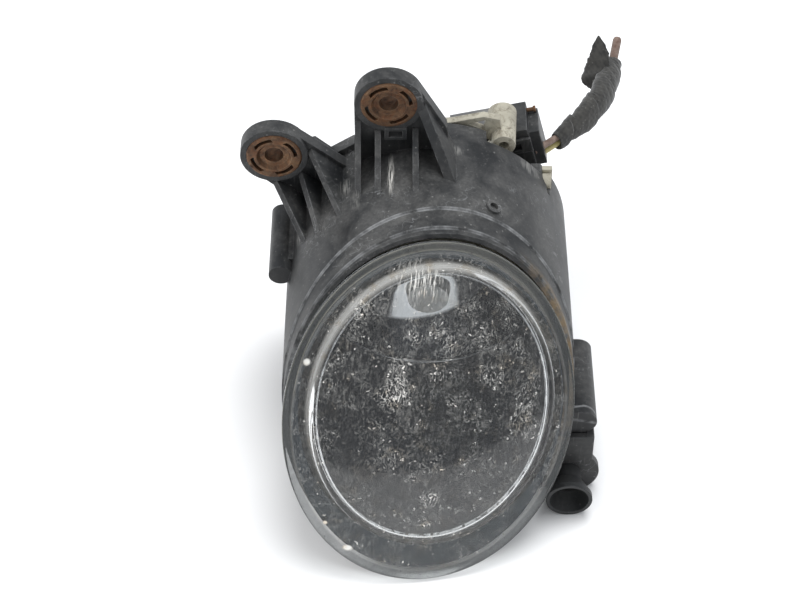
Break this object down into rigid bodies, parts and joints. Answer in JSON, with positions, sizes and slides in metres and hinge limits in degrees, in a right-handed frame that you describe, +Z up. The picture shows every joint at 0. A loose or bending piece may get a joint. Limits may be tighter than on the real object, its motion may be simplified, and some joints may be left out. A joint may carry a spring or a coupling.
{
  "type": "fog light",
  "caption": "Round fog light: a domed, raked lens and cast body tilt in a black tube carrier with two bolt ears, an aim screw, a twist-off rear cover and a cut harness.",
  "frame": {"origin": "middle of the upper bush's bore, on the bush's rear seat", "axes": "-Y is forward along the beam, +X is to the right seen from in front, +Z is up"},
  "size_m": [0.1475, 0.2048, 0.1416],
  "materials": {
    "black_plastic": "moulded, dusty and scuffed",
    "rusty_steel": "bronze-brown, rusted",
    "die_cast": "as cast, oxidised",
    "clear_lens": "clear, scratched and spattered",
    "dark_seal": "matt bond",
    "bright_reflector": "vacuum metallised, aged",
    "zinc_steel": "zinc plated",
    "bulb_glass": "clear quartz",
    "tungsten": "coiled wire",
    "brass": "dull",
    "grey_plastic": "moulded",
    "brown_wire": "dusty insulation",
    "yellow_green_wire": "dusty insulation",
    "cloth_tape": "woven harness tape"
  },
  "bodies": {
    "carrier": {"carrier": "black_plastic", "aim_bracket": "black_plastic", "upper_bush": "rusty_steel", "left_bush": "rusty_steel", "pivot_clips": "zinc_steel", "adjuster_guide": "black_plastic"},
    "lamp_unit": {"lamp_housing": "die_cast", "lens": "clear_lens", "lens_seal": "dark_seal", "reflector": "bright_reflector", "reflector_screws": "zinc_steel", "bulb_base": "zinc_steel", "bulb_glass": "bulb_glass", "bulb_filament": "tungsten", "bulb_terminal": "brass", "bulb_shield": "bright_reflector"},
    "bulb_clip": {"bulb_clip": "zinc_steel"},
    "adjuster_screw": {"adjuster_screw": "zinc_steel", "screw_retainer": "zinc_steel"},
    "adjuster_nut": {"adjuster_nut": "grey_plastic"},
    "rear_cover": {"rear_cover": "black_plastic", "cover_seal": "dark_seal", "vent_cap": "dark_seal", "cover_contacts": "brass", "socket_block": "grey_plastic", "socket_pins": "brass", "harness_plug": "black_plastic", "keeper_pin": "brass", "wire_brown": "brown_wire", "wire_yellow": "yellow_green_wire", "tape_wrap": "cloth_tape", "wire_stub": "brown_wire"},
    "plug_latch": {"plug_latch": "black_plastic"}
  },
  "joints": [
    {"name": "aim_tilt", "type": "hinge", "parent": "carrier", "child": "lamp_unit", "pos_m": [0.0145, -0.0005, -0.0473], "axis": [1, 0, 0], "range_deg": [-2, 2]},
    {"name": "aim_nut_slide", "type": "slide", "parent": "carrier", "child": "adjuster_nut", "axis": [0, 1, 0], "range_m": [-0.0026, 0.0026]},
    {"name": "aim_screw_turn", "type": "hinge", "parent": "carrier", "child": "adjuster_screw", "pos_m": [0.0667, -0.079, -0.1203], "axis": [0, -1, 0], "range_deg": [-620, 620]},
    {"name": "cover_twist", "type": "hinge", "parent": "lamp_unit", "child": "rear_cover", "pos_m": [0.0145, 0.005, -0.0753], "axis": [0, 1, 0], "range_deg": [0, 25]},
    {"name": "latch_flex", "type": "hinge", "parent": "rear_cover", "child": "plug_latch", "pos_m": [0.05291, 0.0144, -0.0417], "axis": [-0.2385, 0, 0.9711], "range_deg": [0, 8], "stiffness_Nm_per_rad": 0.05},
    {"name": "clip_swing", "type": "hinge", "parent": "lamp_unit", "child": "bulb_clip", "pos_m": [0.0145, 0.0038, -0.0923], "axis": [-1, 0, 0], "range_deg": [0, 12], "stiffness_Nm_per_rad": 0.1}
  ],
  "couplings": [
    {"joint": "aim_nut_slide", "follows": "aim_tilt", "m_per_rad": 0.073},
    {"joint": "aim_screw_turn", "follows": "aim_tilt", "ratio": 305.78}
  ]
}
